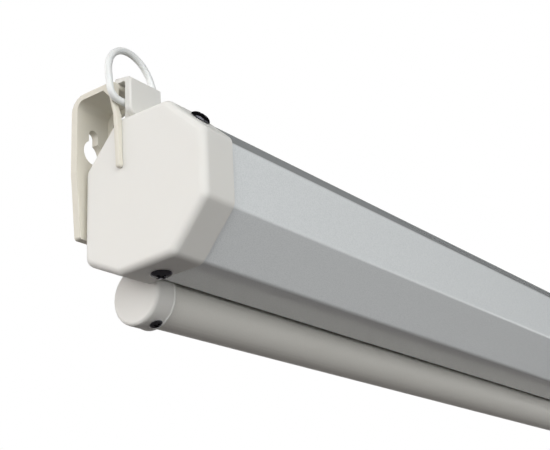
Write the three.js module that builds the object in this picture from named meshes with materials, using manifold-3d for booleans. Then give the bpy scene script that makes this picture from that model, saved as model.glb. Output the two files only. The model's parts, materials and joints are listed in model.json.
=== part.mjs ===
// Pull-down projector screen for a wall: an octagonal sheet-metal case between two moulded end caps,
// wall brackets that the caps hook onto, loose hanging rings, a spring roller with its ratchet, the wound
// fabric and a round batten with a pull handle. Millimetres; X runs along the case, Y from the room to
// the wall and Z up. The origin is on the wall, midway between the end caps, at the case's mid height.
import * as THREE from "three";
import { mergeVertices } from "three/addons/utils/BufferGeometryUtils.js";
import Module from "manifold-3d";

const wasm = await Module();
wasm.setup();

// Whole screen
const screenLength = 1360;
const fabricInset = 55;
const fabricLength = 1420;
const fabricThickness = 0.35;
const clearance = 0.3;
const runningClearance = 0.1;
const overrun = 5;

// Octagonal section, measured over the end caps
const sectionDepth = 82.2;
const sectionHeight = 84;
const topFrontRun = 24.4;
const topFrontRise = 23.3;
const lowFrontRun = 21.8;
const lowFrontRise = 25;
const lowBackRun = 24.4;
const lowBackRise = 11;
const topBackRun = 22.4;
const topBackRise = 24;
const bottomFall = 1.8;

// End caps
const capLength = 22.2;
const capSkirt = 1.5;
const capEndWall = 3;
const capCorner = 6;
const capEdge = 4;

// Case
const caseWall = 1.2;
const caseCorner = 3.5;
const lipPlace = 14.2;
const lipCorner = 1.5;
const lipFall = 0.3;
const lipReturn = 7;
const backWallEnd = -29;

// Hook on each end cap
const hookLength = 23.4;
const hookWall = 3.8;
const hookFlange = 3.2;
const hookFront = 7.4;
const hookDepth = 11.2;
const hookTop = 65.3;
const hookFall = 1.8;
const hookCorner = 1.6;
const hookNotch = 7;
const hookNotchHeight = 4.6;
const hookRelief = 2.2;
const hookReliefLength = 4.2;
const cradleInset = 4;

// Wall bracket
const bracketProud = 4.2;
const bracketWidth = 24.7;
const bracketTop = 61.8;
const bracketGap = 1.3;
const plateThickness = 4.4;
const plateFoot = -18.5;
const plateTaperStart = 18;
const plateTaper = 3.2;
const webThickness = 3.2;
const webFront = 15.6;
const bendRadius = 9;
const bendInnerRadius = 4.6;
const legThickness = 3.2;
const legTip = 12.6;
const legBow = 2;
const legBowHeight = 6;
const legLean = 3.1;
const legTaper = 1.4;
const gussetThickness = 2;
const gussetDrop = 26;
const keyholePlace = 7.6;
const keyholeHeight = 32.5;
const keyholeRadius = 6.9;
const keySlotWidth = 6.6;
const keySlotTop = 45.7;

// Hanging ring
const ringWire = 3.8;
const ringHalfWidth = 16.9;
const ringHeight = 34.4;
const ringCorner = 6;
const ringLeg = 15;
const ringPlace = 8.9;
const ringBarPlace = 13.4;
const ringBarHeight = 50.4;
const ringLean = THREE.MathUtils.degToRad(7);
const ringJoint = 0.5;

// Screws
const topScrew = { head: 5.8, height: 3.1, shank: 2, length: 11 };
const bottomScrew = { head: 5.6, height: 2.2, shank: 2, length: 11 };
const battenScrew = { head: 3.5, height: 1.5, shank: 1.4, length: 5.2 };
const topScrewPlace = 12.2;
const bottomScrewPlace = 15.2;
const bottomScrewInset = 1.6;
const recessDepthShare = 0.55;
const recessWidthShare = 0.24;
const recessReachShare = 0.55;
const bossWidth = 9;
const bossDepth = 8;

// Roller
const rollerHeight = 5;
const rollerRadius = 20;
const rollerWall = 1;
const rollerEnd = 16;
const plugFlange = 2;
const plugDepth = 14;
const pinRadius = 3;
const pinLength = 30;
const bushRadius = 5.2;
const bushFlange = 7;
const bushFlangeThickness = 1.2;
const bearingPlate = 4;
const washerRadius = 6.5;
const washerThickness = 0.8;

// Spring motor in the roller's right end
const shaftRadius = 4;
const shaftTail = 25;
const spearWidth = 7;
const spearThickness = 3.4;
const springRadius = 12;
const springWire = 2.4;
const springLength = 262;
const carrierLength = 14;
const anchorLength = 12;
const ratchetRadius = 8.6;
const ratchetThickness = 3.4;
const ratchetNotch = 1.1;
const ratchetStep = THREE.MathUtils.degToRad(145);
const ratchetRamp = THREE.MathUtils.degToRad(57.5);
const pawlPost = 1.3;
const pawlPlace = 11.8;
const pawlRadius = 2.6;
const pawlReach = 8;
const pawlTip = 1.2;
const pawlRest = THREE.MathUtils.degToRad(25);

// Batten
const battenPlace = 30.3;
const battenHeight = -45.8;
const battenRadius = 14.2;
const battenWall = 1.4;
const battenGroove = 3;
const battenChannel = 3.6;
const battenChannelDepth = 5.6;
const hemRodRadius = 2.4;
const battenInset = 26.2;
const battenCapRadius = 16.1;
const battenCapLength = 13.9;
const battenCapEnd = 2.4;
const battenCapEdge = 2;
const battenCapBead = 0.35;
const battenCapBeadLength = 1;
const battenScrewPlace = 8.8;
const battenScrewAngle = THREE.MathUtils.degToRad(67);

// Pull handle in the middle of the batten
const saddleLength = 44;
const saddleThickness = 2.6;
const saddleHalfAngle = THREE.MathUtils.degToRad(48);
const saddleScrewPlace = 17;
const earThickness = 3.2;
const earPlace = 9;
const earDrop = 9;
const earRadius = 4;
const handleWire = 5;
const handlePin = 1.6;
const handleHalfWidth = 27;
const handleDrop = 34;
const handleCorner = 9;
const handleGap = 0.6;

// Smoothness
const cornerSteps = 5;
const wireSides = 12;
const roundSides = 48;
const smallSides = 20;
const mergeDistance = 1e-4;

// Places that follow from the sizes above
const sectionFront = -sectionDepth / 2;
const sectionBack = sectionDepth / 2;
const sectionTop = sectionHeight / 2;
const sectionBottom = -sectionHeight / 2;
const plateFront = sectionBack + bracketGap;
const wallPlace = plateFront + plateThickness;
const caseInset = capSkirt + clearance;
const caseStart = capEndWall + clearance;
const woundRadius = Math.sqrt((rollerRadius + clearance) ** 2 + (fabricThickness * fabricLength) / Math.PI);
const rollerPlace = battenPlace - fabricThickness / 2 - clearance - woundRadius;
const fabricWidth = screenLength - 2 * fabricInset;
const plateInset = caseInset + caseWall + clearance;
const plateStart = caseStart;
const plateEnd = plateStart + bearingPlate;
const battenTop = battenHeight + battenRadius;
const hemRodHeight = battenTop - battenChannelDepth + battenChannel - hemRodRadius - clearance;

const coat = { color: 0xc3c7c8, roughness: 0.5, metalness: 0.15 };
const capPlastic = { color: 0xe2dfda, roughness: 0.55, metalness: 0 };
const bracketPlastic = { color: 0xebe6dc, roughness: 0.5, metalness: 0 };
const ringPlastic = { color: 0xcdcfcb, roughness: 0.4, metalness: 0.1 };
const blackScrew = { color: 0x1c1c20, roughness: 0.3, metalness: 0.9 };
const steel = { color: 0xb4b6b8, roughness: 0.35, metalness: 1 };
const zinc = { color: 0x9ea3a6, roughness: 0.45, metalness: 1 };
const nylon = { color: 0xe9e6da, roughness: 0.6, metalness: 0 };
const springSteel = { color: 0x55585c, roughness: 0.4, metalness: 1 };
const screenCloth = { color: 0xf2f2ee, roughness: 0.9, metalness: 0 };
const battenCoat = { color: 0xb9b9b4, roughness: 0.45, metalness: 0.2 };
const handlePlastic = { color: 0xd6d4cf, roughness: 0.5, metalness: 0 };

// A closed geometry as a solid for joining and cutting.
function solid(geometry) {
  const bare = geometry.clone();
  bare.deleteAttribute("normal");
  bare.deleteAttribute("uv");
  const merged = mergeVertices(bare, mergeDistance);
  const corners = Array.from(merged.index.array);
  const kept = [];
  for (let i = 0; i < corners.length; i += 3) {
    const [a, b, c] = corners.slice(i, i + 3);
    if (a !== b && b !== c && c !== a) kept.push(a, b, c);
  }
  const make = (triVerts) =>
    new wasm.Manifold(
      new wasm.Mesh({ numProp: 3, vertProperties: merged.attributes.position.array, triVerts }),
    );
  const made = make(new Uint32Array(kept));
  return made.volume() < 0 ? make(new Uint32Array(kept.reverse())) : made;
}

function join(...solids) {
  return solids.reduce((all, next) => all.add(next));
}

function cut(body, ...tools) {
  return tools.reduce((left, tool) => left.subtract(tool), body);
}

function surface(body) {
  const mesh = body.getMesh();
  const geometry = new THREE.BufferGeometry();
  geometry.setAttribute("position", new THREE.BufferAttribute(mesh.vertProperties, mesh.numProp));
  geometry.setIndex(new THREE.BufferAttribute(mesh.triVerts, 1));
  return geometry;
}

// A named mesh from a solid or a geometry.
function piece(name, shape, look) {
  const geometry = surface(shape.isBufferGeometry ? solid(shape) : shape);
  geometry.computeVertexNormals();
  const made = new THREE.Mesh(geometry, new THREE.MeshStandardMaterial(look));
  made.name = name;
  return made;
}

// Flat points.
function flat(pairs) {
  return pairs.map(([u, v]) => new THREE.Vector2(u, v));
}

// Moves each side of an outline to its left by a distance; an open outline keeps its ends square.
function offset(points, distance, closed = true) {
  const count = points.length;
  const side = (i) => {
    const a = points[(i + count) % count];
    const b = points[(i + 1) % count];
    const along = b.clone().sub(a).normalize();
    const left = new THREE.Vector2(-along.y, along.x);
    return { start: a.clone().addScaledVector(left, distance), along, left };
  };
  return points.map((corner, i) => {
    if (!closed && i === 0) return side(0).start;
    const before = side(i - 1);
    if (!closed && i === count - 1) return corner.clone().addScaledVector(before.left, distance);
    const after = side(i);
    const gap = after.start.clone().sub(before.start);
    const reach = gap.cross(after.along) / before.along.cross(after.along);
    return before.start.addScaledVector(before.along, reach);
  });
}

// Rounds each corner with an arc; radius is one value or one for each corner.
function rounded(points, radius, closed = true) {
  const count = points.length;
  return points.flatMap((corner, i) => {
    const r = Array.isArray(radius) ? radius[i] : radius;
    if (r <= 0 || (!closed && (i === 0 || i === count - 1))) return [corner.clone()];
    const back = points[(i + count - 1) % count].clone().sub(corner).normalize();
    const ahead = points[(i + 1) % count].clone().sub(corner).normalize();
    const half = Math.acos(back.dot(ahead)) / 2;
    const reach = r / Math.tan(half);
    const inward = back.clone().add(ahead).normalize();
    const centre = corner.clone().addScaledVector(inward, r / Math.sin(half));
    const start = corner.clone().addScaledVector(back, reach).sub(centre);
    const end = corner.clone().addScaledVector(ahead, reach).sub(centre);
    const sweep = Math.atan2(start.cross(end), start.dot(end));
    const arc = [];
    for (let k = 0; k <= cornerSteps; k += 1) {
      const turned = start.clone().rotateAround(new THREE.Vector2(), (sweep * k) / cornerSteps);
      arc.push(turned.add(centre));
    }
    return arc;
  });
}

function extruded(points, depth, edge = 0) {
  return new THREE.ExtrudeGeometry(new THREE.Shape(points), {
    depth: depth - 2 * edge,
    bevelEnabled: edge > 0,
    bevelThickness: edge,
    bevelSize: edge,
    bevelOffset: -edge,
    bevelSegments: cornerSteps,
    steps: 1,
  }).translate(0, 0, edge);
}

// An outline in the Y-Z plane, run along X from start to end.
function alongX(points, start, end, edge = 0) {
  const turn = new THREE.Matrix4().makeBasis(
    new THREE.Vector3(0, 1, 0),
    new THREE.Vector3(0, 0, 1),
    new THREE.Vector3(1, 0, 0),
  );
  return extruded(points, end - start, edge).applyMatrix4(turn).translate(start, 0, 0);
}

// An outline in the X-Z plane, run along Y from front to back.
function alongY(points, front, back) {
  return extruded(points, back - front).rotateX(Math.PI / 2).translate(0, back, 0);
}

function rod(radius, start, end, y, z, sides = smallSides) {
  return new THREE.CylinderGeometry(radius, radius, end - start, sides)
    .rotateZ(-Math.PI / 2)
    .translate((start + end) / 2, y, z);
}

function tube(outer, inner, start, end, y, z, sides = roundSides) {
  return cut(
    solid(rod(outer, start, end, y, z, sides)),
    solid(rod(inner, start - overrun, end + overrun, y, z, sides)),
  );
}

function block(low, high) {
  const size = high.map((value, i) => value - low[i]);
  const middle = high.map((value, i) => (value + low[i]) / 2);
  return new THREE.BoxGeometry(...size).translate(...middle);
}

// Section of the end caps, from the top back corner round the front to the back.
function sectionCorners() {
  return flat([
    [sectionBack - topBackRun, sectionTop],
    [sectionFront + topFrontRun, sectionTop],
    [sectionFront, sectionTop - topFrontRise],
    [sectionFront, sectionBottom + lowFrontRise],
    [sectionFront + lowFrontRun, sectionBottom],
    [sectionBack - lowBackRun, sectionBottom - bottomFall],
    [sectionBack, sectionBottom - bottomFall + lowBackRise],
    [sectionBack, sectionTop - topBackRise],
  ]);
}

function sectionOutline(inset, corner) {
  return rounded(offset(sectionCorners(), inset), corner);
}

// Where a cap screw sits: a point on the cap's skin and the way its head faces, both in the section plane.
function topScrewSite() {
  const [, upper, lower] = sectionCorners();
  const along = upper.clone().sub(lower).normalize();
  return {
    x: topScrewPlace,
    foot: upper.clone().lerp(lower, 1 / 2),
    out: new THREE.Vector2(-along.y, along.x),
  };
}

function bottomScrewSite() {
  const [, , , , front, back] = sectionCorners();
  const along = back.clone().sub(front).normalize();
  const reach = (bottomScrewInset - front.x) / along.x;
  return {
    x: bottomScrewPlace,
    foot: front.clone().addScaledVector(along, reach),
    out: new THREE.Vector2(along.y, -along.x),
  };
}

// Turns a shape made on +Z and stands it at a place in the section, facing out.
function stand(geometry, site) {
  const up = new THREE.Vector3(0, 0, 1);
  const facing = new THREE.Vector3(0, site.out.x, site.out.y);
  const turn = new THREE.Quaternion().setFromUnitVectors(up, facing);
  return geometry.applyQuaternion(turn).translate(site.x, site.foot.x, site.foot.y);
}

// A cross-recessed screw with a domed head on +Z and its shank below.
function screw({ head, height, shank, length }, seat) {
  const profile = flat([[0, seat + height]]);
  for (let k = 1; k < cornerSteps; k += 1) {
    const angle = (Math.PI / 2) * (1 - k / cornerSteps);
    profile.push(new THREE.Vector2(head * Math.cos(angle), seat + height * Math.sin(angle)));
  }
  profile.push(...flat([[head, seat], [shank, seat], [shank, seat - length], [0, seat - length]]));
  const body = solid(new THREE.LatheGeometry(profile, smallSides).rotateX(Math.PI / 2));
  const half = (head * recessWidthShare) / 2;
  const reach = head * recessReachShare;
  const floor = seat + height * (1 - recessDepthShare);
  const top = seat + height + overrun;
  const slots = [
    block([-reach, -half, floor], [reach, half, top]),
    block([-half, -reach, floor], [half, reach, top]),
  ];
  return surface(cut(body, ...slots.map(solid)));
}

// Hole for a screw's shank, through whatever it holds.
function bore({ shank, length }, site) {
  const radius = shank + clearance;
  const depth = 2 * (length + overrun);
  const drill = new THREE.CylinderGeometry(radius, radius, depth, smallSides).rotateX(Math.PI / 2);
  return solid(stand(drill, site));
}

function capScrewHoles() {
  return [bore(topScrew, topScrewSite()), bore(bottomScrew, bottomScrewSite())];
}

// End cap in end coordinates: x is 0 at its outer face and grows towards the middle of the screen.
function endCap() {
  const outer = cut(
    solid(alongX(sectionOutline(0, capCorner), 0, capLength + capEdge + overrun, capEdge)),
    solid(block(
      [capLength, 2 * sectionFront, 2 * sectionBottom],
      [capLength + capEdge + 2 * overrun, 2 * sectionBack, 2 * sectionTop],
    )),
  );
  const room = sectionOutline(capSkirt, capCorner - capSkirt);
  const pocket = solid(alongX(room, capEndWall, capLength + overrun));
  return cut(join(cut(outer, pocket), hook(), cradle()), ...capScrewHoles());
}

// A grooved rest on top of the cap that the ring's straight bar lies in.
function cradle() {
  const low = [cradleInset, hookFront + hookWall / 2, sectionTop - capSkirt];
  const high = [capLength - cradleInset, ringBarPlace + ringWire / 2, ringBarHeight];
  const groove = rod(ringWire / 2 + clearance, -overrun, capLength + overrun, ringBarPlace, ringBarHeight);
  return cut(solid(block(low, high)), solid(groove));
}

// The hook on top of the cap: an upright wall with a flange towards the wall of the room.
function hook() {
  const back = hookFront + hookDepth;
  const underside = hookTop - hookFlange;
  const inner = hookFront + hookWall;
  const foot = sectionTop - capSkirt;
  const profile = flat([
    [hookFront, foot],
    [inner, foot],
    [inner, underside],
    [back, underside],
    [back, hookTop],
    [hookFront, hookTop - hookFall],
  ]);
  const bends = [0, 0, hookCorner, hookCorner / 2, hookCorner / 2, hookCorner];
  const shape = solid(alongX(rounded(profile, bends), 0, hookLength));
  const overhang = block(
    [capLength, hookFront - overrun, foot - overrun],
    [hookLength + overrun, inner + overrun, sectionTop],
  );
  const relief = block(
    [hookLength - hookReliefLength, inner - hookRelief, sectionTop],
    [hookLength + overrun, inner + overrun, underside],
  );
  const corner = flat([
    [-overrun, sectionTop + hookNotchHeight],
    [-overrun, foot - overrun],
    [hookNotch, foot - overrun],
  ]);
  for (let k = 0; k <= cornerSteps; k += 1) {
    const angle = (Math.PI / 2) * (k / cornerSteps);
    corner.push(new THREE.Vector2(
      hookNotch * (1 - Math.sin(angle)),
      sectionTop + hookNotchHeight * (1 - Math.cos(angle)),
    ));
  }
  const notch = alongY(corner, hookFront - overrun, inner + overrun);
  return cut(shape, ...[overhang, relief, notch].map(solid));
}

// Outside of the case sheet, from the end of its back wall over the top and round to the lip of its slot.
function casePath() {
  const corners = offset(sectionCorners(), caseInset);
  const [topBack, topFront, frontUp, frontLow, lowFront, , , backUp] = corners;
  const lip = new THREE.Vector2(lipPlace, lowFront.y - lipFall);
  return [
    new THREE.Vector2(backUp.x, backWallEnd),
    backUp,
    topBack,
    topFront,
    frontUp,
    frontLow,
    lowFront,
    lip,
    new THREE.Vector2(lipPlace, lip.y + lipReturn),
  ];
}

// The case path moved inwards and rounded, with the tighter bend at the lip.
function caseLine(inset) {
  const path = casePath();
  const lip = path.length - 2;
  const radii = path.map((_, i) => Math.max((i === lip ? lipCorner : caseCorner) - inset, 0));
  return rounded(offset(path, inset, false), radii, false);
}

function screenCase() {
  const sheet = [...caseLine(0), ...caseLine(caseWall).reverse()];
  const half = screenLength / 2 - caseStart;
  const holes = capScrewHoles();
  return cut(solid(alongX(sheet, -half, half)), ...holes.map(atLeftEnd), ...holes.map(atRightEnd));
}

// A solid in end coordinates, moved to one end of the screen.
function atLeftEnd(body) {
  return body.translate([-screenLength / 2, 0, 0]);
}

function atRightEnd(body) {
  return body.mirror([1, 0, 0]).translate([screenLength / 2, 0, 0]);
}

// Plate inside the cap that carries the roller, with a boss for each cap screw.
function bearing(holeShape) {
  const inside = caseLine(caseWall + clearance);
  const plate = solid(alongX(inside, plateStart, plateEnd));
  const room = solid(alongX(inside, plateStart, plateStart + capLength));
  const bosses = [topScrewSite(), bottomScrewSite()].map((site) => {
    const reach = bossWidth / 2;
    const low = [plateStart - site.x, -reach, -plateInset - bossDepth];
    const high = [reach, reach, -plateInset];
    return solid(stand(block(low, high), site)).intersect(room);
  });
  return cut(join(plate, ...bosses), ...capScrewHoles(), holeShape);
}

// Wall bracket: plate against the wall, web over the cap and a leg down the cap's end face.
function bracket() {
  const low = -bracketProud;
  const high = bracketWidth + low;
  const webUnder = bracketTop - webThickness;
  const hookProfile = flat([
    [wallPlace, plateFoot],
    [wallPlace, bracketTop],
    [webFront, bracketTop],
    [webFront, webUnder],
    [plateFront, webUnder],
    [plateFront, plateFoot],
  ]);
  const bent = rounded(hookProfile, [0, bendRadius, webThickness / 3, webThickness / 3, bendInnerRadius, 0]);
  const faces = flat([
    [low + plateTaper, plateFoot],
    [high - plateTaper, plateFoot],
    [high, plateTaperStart],
    [high, bracketTop + overrun],
    [low, bracketTop + overrun],
    [low, plateTaperStart],
  ]);
  const outline = rounded(faces, [plateTaper / 2, plateTaper, bendRadius, 0, 0, bendRadius]);
  const face = solid(alongY(outline, webFront - overrun, wallPlace));
  const shell = solid(alongX(bent, low, high)).intersect(face);
  const gusset = flat([
    [plateFront + clearance, webUnder + clearance],
    [webFront + legThickness, webUnder + clearance],
    [plateFront - bendInnerRadius, webUnder - bendInnerRadius],
    [plateFront + clearance, webUnder - gussetDrop],
  ]);
  const rib = solid(alongX(gusset, high - gussetThickness, high));
  return cut(join(shell, rib, bracketLeg()), keyhole());
}

function bracketLeg() {
  const low = -bracketProud;
  const webUnder = bracketTop - webThickness;
  const shoulder = webUnder - bendInnerRadius;
  const profile = flat([
    [webFront, bracketTop - webThickness / 3],
    [webFront, sectionTop + legBowHeight],
    [webFront - legBow, sectionTop],
    [webFront - legLean, legTip],
    [webFront - legLean + legThickness, legTip],
    [webFront - legBow + legThickness, sectionTop],
    [webFront + legThickness, shoulder],
    [webFront + legThickness + bendInnerRadius, webUnder + clearance],
  ]);
  const tip = legThickness / 2 - clearance / 2;
  const side = rounded(profile, [0, bendRadius, bendRadius, tip, tip, bendRadius, 0, 0]);
  const faces = flat([
    [low + legTaper, legTip - overrun],
    [-clearance, legTip - overrun],
    [-clearance, bracketTop],
    [low, bracketTop],
  ]);
  const leg = solid(alongX(side, low, -clearance));
  return leg.intersect(solid(alongY(faces, webFront - legLean - overrun, plateFront)));
}

function keyhole() {
  const depth = plateThickness + 2 * overrun;
  const middle = (plateFront + wallPlace) / 2;
  const half = keySlotWidth / 2;
  const slotEnd = keySlotTop - half;
  const round = new THREE.CylinderGeometry(keyholeRadius, keyholeRadius, depth, roundSides / 2);
  round.translate(keyholePlace, middle, keyholeHeight);
  const cap = new THREE.CylinderGeometry(half, half, depth, smallSides);
  cap.translate(keyholePlace, middle, slotEnd);
  const slot = block(
    [keyholePlace - half, plateFront - overrun, keyholeHeight],
    [keyholePlace + half, wallPlace + overrun, slotEnd],
  );
  return join(...[round, cap, slot].map(solid));
}

// Hanging ring: round wire bent to a D, its two ends meeting in the middle of the straight bar.
function ringOutline() {
  const points = [];
  const add = (x, z) => points.push(new THREE.Vector3(x, 0, z));
  const arc = (cx, cz, rx, rz, from, to, steps) => {
    for (let k = 0; k <= steps; k += 1) {
      const angle = from + ((to - from) * k) / steps;
      add(cx + rx * Math.cos(angle), cz + rz * Math.sin(angle));
    }
  };
  const corner = ringHalfWidth - ringCorner;
  const quarter = Math.PI / 2;
  add(ringJoint / 2, 0);
  arc(corner, ringCorner, ringCorner, ringCorner, -quarter, 0, cornerSteps + 1);
  arc(0, ringLeg, ringHalfWidth, ringHeight - ringLeg, 0, 2 * quarter, 4 * cornerSteps);
  arc(-corner, ringCorner, ringCorner, ringCorner, 2 * quarter, 3 * quarter, cornerSteps + 1);
  add(-ringJoint / 2, 0);
  return points;
}

function hangingRing() {
  return sweep(ringOutline(), ringWire / 2)
    .rotateX(-ringLean)
    .translate(ringPlace, ringBarPlace, ringBarHeight);
}

// A round bar through a list of points, with one ring of vertices at each point, square to the path.
function sweep(points, radius, normal = new THREE.Vector3(0, 1, 0), sides = wireSides) {
  const position = [];
  const index = [];
  const last = points.length - 1;
  points.forEach((point, i) => {
    const before = points[Math.max(i - 1, 0)];
    const after = points[Math.min(i + 1, last)];
    const along = after.clone().sub(before).normalize();
    const side = normal.clone().cross(along).normalize();
    const up = along.clone().cross(side);
    for (let k = 0; k < sides; k += 1) {
      const angle = (2 * Math.PI * k) / sides;
      const spoke = side.clone().multiplyScalar(Math.cos(angle)).addScaledVector(up, Math.sin(angle));
      position.push(...point.clone().addScaledVector(spoke, radius).toArray());
    }
  });
  for (let i = 0; i < last; i += 1) {
    for (let k = 0; k < sides; k += 1) {
      const a = i * sides + k;
      const b = i * sides + ((k + 1) % sides);
      index.push(a, b, a + sides, b, b + sides, a + sides);
    }
  }
  for (let k = 1; k < sides - 1; k += 1) {
    index.push(0, k + 1, k);
    index.push(last * sides, last * sides + k, last * sides + k + 1);
  }
  const geometry = new THREE.BufferGeometry();
  geometry.setAttribute("position", new THREE.Float32BufferAttribute(position, 3));
  geometry.setIndex(index);
  return geometry;
}

// Pieces that both ends have, in end coordinates.
function endPieces(side) {
  const pieces = [
    piece(`end_cap_${side}`, endCap(), capPlastic),
    piece(`cap_screw_top_${side}`, stand(screw(topScrew, clearance), topScrewSite()), blackScrew),
    piece(`cap_screw_bottom_${side}`, stand(screw(bottomScrew, clearance), bottomScrewSite()), blackScrew),
    piece(`wall_bracket_${side}`, bracket(), bracketPlastic),
    piece(`hanging_ring_${side}`, hangingRing(), ringPlastic),
    piece(`batten_cap_${side}`, battenCap(), capPlastic),
    piece(`batten_cap_screw_${side}`, stand(screw(battenScrew, clearance), battenScrewSite()), steel),
  ];
  return pieces;
}

// A round solid on the roller's axis, in end coordinates.
function turned(radius, start, end, sides = smallSides) {
  return solid(rod(radius, start, end, rollerPlace, rollerHeight, sides));
}

// End plug of the roller: a flange the size of the roller and a spigot inside its tube.
function rollerPlug() {
  const spigot = rollerRadius - rollerWall - clearance;
  return join(
    turned(rollerRadius, rollerEnd - plugFlange, rollerEnd - clearance, roundSides),
    turned(spigot, rollerEnd - plugFlange, rollerEnd + plugDepth, roundSides),
  );
}

// Left end: the roller turns on a steel pin in a nylon bush.
function idlePieces() {
  const plugStart = rollerEnd - plugFlange;
  const washerEnd = plugStart - clearance;
  const washerStart = washerEnd - washerThickness;
  const flangeStart = plateEnd + clearance;
  const bushEnd = washerStart - clearance;
  const pinStart = plateStart + clearance;
  const hole = turned(pinRadius + runningClearance, 0, pinStart + pinLength + overrun);
  const bush = join(
    turned(bushRadius, plateStart, bushEnd),
    turned(bushFlange, flangeStart, flangeStart + bushFlangeThickness),
  );
  return [
    piece("bearing_plate_left", bearing(turned(bushRadius + clearance, 0, rollerEnd)), nylon),
    piece("idle_bush", cut(bush, hole), nylon),
    piece("idle_washer", cut(turned(washerRadius, washerStart, washerEnd), hole), zinc),
    piece("idle_plug", cut(rollerPlug(), hole), nylon),
    piece("idle_pin", turned(pinRadius, pinStart, pinStart + pinLength), steel),
  ];
}

// The flat end of the spring shaft, grown by a gap where it is a hole for it.
function spear(start, end, gap = 0) {
  const across = spearThickness / 2 + gap;
  const up = spearWidth / 2 + gap;
  return solid(block(
    [start, rollerPlace - across, rollerHeight - up],
    [end, rollerPlace + across, rollerHeight + up],
  ));
}

// Right end: a fixed shaft with a flat spear, the torsion spring, the ratchet and its two pawls.
function springPieces() {
  const plugStart = rollerEnd - plugFlange;
  const plugEnd = rollerEnd + plugDepth;
  const ratchetEnd = plugStart - clearance;
  const ratchetStart = ratchetEnd - ratchetThickness;
  const carrierStart = plugEnd + clearance;
  const springStart = carrierStart + carrierLength;
  const springEnd = springStart + springLength;
  const springInner = springRadius - springWire;
  const seat = springInner - clearance;
  const anchorStart = springEnd + clearance;
  const anchorEnd = anchorStart + anchorLength;
  const shaftHole = turned(shaftRadius + runningClearance, plugStart - overrun, anchorEnd + overrun);
  const shaft = join(
    turned(shaftRadius, plugStart, anchorEnd + shaftTail),
    spear(plateStart + clearance, plugEnd),
  );
  const ratchet = cut(
    turned(ratchetRadius, ratchetStart, ratchetEnd, roundSides / 2),
    spear(0, plugEnd, clearance),
    ratchetCut(1, ratchetStart, ratchetEnd),
    ratchetCut(-1, ratchetStart, ratchetEnd),
  );
  const post = (way) =>
    solid(rod(pawlPost, ratchetStart, rollerEnd - clearance, rollerPlace, rollerHeight + way * pawlPlace));
  const carrier = join(
    turned(rollerRadius - rollerWall - clearance, carrierStart, springStart - clearance, roundSides),
    turned(seat, carrierStart, springStart + anchorLength),
  );
  const anchor = join(
    turned(springRadius, anchorStart, anchorEnd),
    turned(seat, springEnd - anchorLength, anchorEnd),
  );
  const spring = cut(
    turned(springRadius, springStart, springEnd, roundSides / 2),
    turned(springInner, springStart - overrun, springEnd + overrun, roundSides / 2),
  );
  return [
    piece("bearing_plate_right", bearing(spear(0, plugEnd, clearance)), nylon),
    piece("spring_shaft", shaft, steel),
    piece("ratchet_wheel", ratchet, zinc),
    piece("spring_plug", cut(join(rollerPlug(), post(1), post(-1)), shaftHole), nylon),
    piece("spring_carrier", cut(carrier, shaftHole), nylon),
    piece("torsion_spring", spring, springSteel),
    piece("spring_anchor", cut(anchor, shaftHole), nylon),
    piece("pawl_upper", pawl(1, ratchetStart, plugStart), zinc),
    piece("pawl_lower", pawl(-1, ratchetStart, plugStart), zinc),
  ];
}

// One stop of the ratchet wheel: a ramp down into the rim that ends in a step.
function ratchetCut(way, start, end) {
  const outline = [
    [ratchetRadius - ratchetNotch, ratchetStep],
    [ratchetRadius + overrun, ratchetStep],
    [ratchetRadius + overrun, ratchetStep - ratchetRamp],
    [ratchetRadius, ratchetStep - ratchetRamp],
  ].map(([radius, angle]) => new THREE.Vector2(
    rollerPlace + way * radius * Math.cos(angle),
    rollerHeight + way * radius * Math.sin(angle),
  ));
  return solid(alongX(outline, start - overrun, end + overrun));
}

// A pawl in its resting place, thrown outwards and clear of the ratchet wheel.
function pawl(way, start, plugFace) {
  const bottom = start + clearance;
  const top = plugFace - clearance;
  const arm = flat([
    [0, -pawlRadius],
    [-pawlReach, -pawlTip],
    [-pawlReach, pawlTip],
    [0, pawlRadius],
  ]);
  const body = join(
    solid(rod(pawlRadius, bottom, top, 0, 0)),
    solid(alongX(arm, bottom, top)),
    solid(rod(pawlTip, bottom, top, -pawlReach, 0)),
  );
  const eye = solid(rod(pawlPost + runningClearance, bottom - overrun, top + overrun, 0, 0));
  const angle = way > 0 ? pawlRest : Math.PI + pawlRest;
  return surface(cut(body, eye)).rotateX(angle).translate(0, rollerPlace, rollerHeight + way * pawlPlace);
}

// Roller tube, the fabric wound on it and the short fall of fabric down to the batten.
function rollerPieces() {
  const half = screenLength / 2 - rollerEnd;
  const cloth = fabricWidth / 2;
  const sheet = [battenPlace - fabricThickness / 2, battenPlace + fabricThickness / 2];
  const fallBottom = hemRodHeight + hemRodRadius + clearance;
  const hollow = (outer, inner, reach) => cut(
    turned(outer, -reach, reach, roundSides),
    turned(inner, -reach - overrun, reach + overrun, roundSides),
  );
  return [
    piece("roller_tube", hollow(rollerRadius, rollerRadius - rollerWall, half), zinc),
    piece("wound_fabric", hollow(woundRadius, rollerRadius + clearance, cloth), screenCloth),
    piece("fabric_fall", block([-cloth, sheet[0], fallBottom], [cloth, sheet[1], rollerHeight]), screenCloth),
  ];
}

// Batten: an extruded tube with a keyhole groove that the hem rod and the fabric slide into.
function battenTube() {
  const half = screenLength / 2 - battenInset - battenCapEnd - clearance;
  const y = battenPlace;
  const z = battenHeight;
  const channelZ = battenTop - battenChannelDepth;
  const skin = tube(battenRadius, battenRadius - battenWall, -half, half, y, z);
  const housing = solid(rod(battenChannel + battenWall, -half, half, y, channelZ))
    .intersect(solid(rod(battenRadius - clearance / 2, -half, half, y, z, roundSides)));
  const channel = solid(rod(battenChannel, -half - overrun, half + overrun, y, channelZ));
  const groove = solid(block(
    [-half - overrun, y - battenGroove / 2, channelZ],
    [half + overrun, y + battenGroove / 2, battenTop + overrun],
  ));
  return cut(join(skin, housing), channel, groove);
}

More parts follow.
